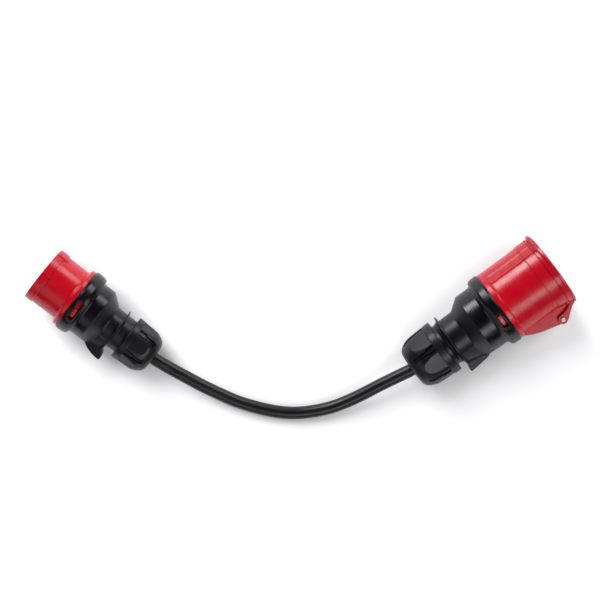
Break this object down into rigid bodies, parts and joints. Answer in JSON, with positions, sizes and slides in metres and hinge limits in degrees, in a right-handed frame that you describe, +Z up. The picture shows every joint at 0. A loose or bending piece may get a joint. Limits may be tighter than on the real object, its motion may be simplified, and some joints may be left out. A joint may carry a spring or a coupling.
{
  "type": "five-pole adapter lead",
  "caption": "Short adapter lead: a round red and black five-pole plug and a larger lidded connector joined by a thick black cable.",
  "frame": {"origin": "centre of the bounding box of the plug and the connector, on the plane that they rest on", "axes": "+X from the plug to the connector, along the longest extent; +Z up, away from the plane; +Y away from the bight of the cable"},
  "size_m": [0.5444, 0.1849, 0.0859],
  "materials": {
    "red_plastic": "semi-gloss moulded plastic",
    "black_plastic": "satin moulded plastic",
    "grey_plastic": "matt moulded plastic",
    "seal_rubber": "matt",
    "cable_rubber": "satin extruded jacket",
    "nickel_plate": "dull nickel plate",
    "brass": "turned",
    "steel": "zinc plated",
    "core_green": "smooth insulation",
    "core_brown": "smooth insulation",
    "core_black": "smooth insulation",
    "core_grey": "smooth insulation",
    "core_blue": "smooth insulation"
  },
  "bodies": {
    "root": {"plug_rear_housing": "black_plastic", "plug_front_seal": "seal_rubber", "plug_cable_grommet": "seal_rubber", "plug_jacket_tail": "cable_rubber", "cable_jacket": "cable_rubber", "connector_jacket_tail": "cable_rubber", "connector_cable_grommet": "seal_rubber", "connector_front_seal": "seal_rubber", "connector_rear_housing": "black_plastic"},
    "plug_front": {"plug_shroud": "red_plastic", "plug_pin_carrier": "grey_plastic", "plug_pin_earth": "nickel_plate", "plug_pin_l1": "nickel_plate", "plug_pin_l2": "nickel_plate", "plug_pin_l3": "nickel_plate", "plug_pin_neutral": "nickel_plate", "plug_terminal_screw_earth": "steel", "plug_terminal_screw_l1": "steel", "plug_terminal_screw_l2": "steel", "plug_terminal_screw_l3": "steel", "plug_terminal_screw_neutral": "steel", "plug_core_earth": "core_green", "plug_core_l1": "core_brown", "plug_core_l2": "core_black", "plug_core_l3": "core_grey", "plug_core_neutral": "core_blue"},
    "plug_latch_tab": {"plug_latch": "red_plastic"},
    "plug_clamp": {"plug_clamp_cage": "grey_plastic"},
    "plug_nut": {"plug_gland_nut": "black_plastic"},
    "connector_front": {"connector_shell": "red_plastic", "connector_contact_carrier": "grey_plastic", "connector_sleeve_earth": "brass", "connector_sleeve_l1": "brass", "connector_sleeve_l2": "brass", "connector_sleeve_l3": "brass", "connector_sleeve_neutral": "brass", "connector_terminal_screw_earth": "steel", "connector_terminal_screw_l1": "steel", "connector_terminal_screw_l2": "steel", "connector_terminal_screw_l3": "steel", "connector_terminal_screw_neutral": "steel", "connector_core_earth": "core_green", "connector_core_l1": "core_brown", "connector_core_l2": "core_black", "connector_core_l3": "core_grey", "connector_core_neutral": "core_blue", "connector_hinge_pin": "steel", "connector_lid_spring": "steel"},
    "connector_lid": {"connector_lid": "red_plastic", "connector_lid_gasket": "seal_rubber"},
    "connector_latch_tab": {"connector_latch": "red_plastic"},
    "connector_clamp": {"connector_clamp_cage": "grey_plastic"},
    "connector_nut": {"connector_gland_nut": "black_plastic"}
  },
  "joints": [
    {"name": "lid_hinge", "type": "hinge", "parent": "connector_front", "child": "connector_lid", "pos_m": [0.25927, -0.00553, 0.03797], "axis": [0.0184, 0.1869, -0.9822], "range_deg": [0, 110], "stiffness_Nm_per_rad": 0.08, "springref_deg": -45.84},
    {"name": "plug_twist", "type": "hinge", "parent": "root", "child": "plug_front", "pos_m": [-0.21677, 0.00824, 0.03337], "axis": [-0.776, 0.6155, 0.1375], "range_deg": [0, 17]},
    {"name": "connector_twist", "type": "hinge", "parent": "root", "child": "connector_front", "pos_m": [0.19303, 0.00168, 0.0381], "axis": [-0.7966, -0.591, -0.1274], "range_deg": [0, 17]},
    {"name": "plug_latch_press", "type": "slide", "parent": "plug_front", "child": "plug_latch_tab", "axis": [0.0841, 0.3171, -0.9447], "range_m": [0, 0.0015], "stiffness_N_per_m": 1500, "springref_m": -0.0008},
    {"name": "connector_latch_press", "type": "slide", "parent": "connector_front", "child": "connector_latch_tab", "axis": [-0.0502, 0.2745, -0.9603], "range_m": [0, 0.0015], "stiffness_N_per_m": 1500, "springref_m": -0.0008},
    {"name": "plug_nut_travel", "type": "slide", "parent": "root", "child": "plug_clamp", "axis": [0.776, -0.6155, -0.1375], "range_m": [0, 0.0035]},
    {"name": "plug_nut_turn", "type": "hinge", "parent": "plug_clamp", "child": "plug_nut", "pos_m": [-0.16501, -0.03281, 0.0242], "axis": [0.776, -0.6155, -0.1375], "range_deg": [0, 360]},
    {"name": "connector_nut_travel", "type": "slide", "parent": "root", "child": "connector_clamp", "axis": [-0.7966, -0.591, -0.1274], "range_m": [0, 0.0035]},
    {"name": "connector_nut_turn", "type": "hinge", "parent": "connector_clamp", "child": "connector_nut", "pos_m": [0.13264, -0.04312, 0.02845], "axis": [-0.7966, -0.591, -0.1274], "range_deg": [0, 360]}
  ],
  "couplings": [
    {"joint": "plug_nut_travel", "follows": "plug_nut_turn", "m_per_rad": 0.000557},
    {"joint": "connector_nut_travel", "follows": "connector_nut_turn", "m_per_rad": 0.000557}
  ]
}
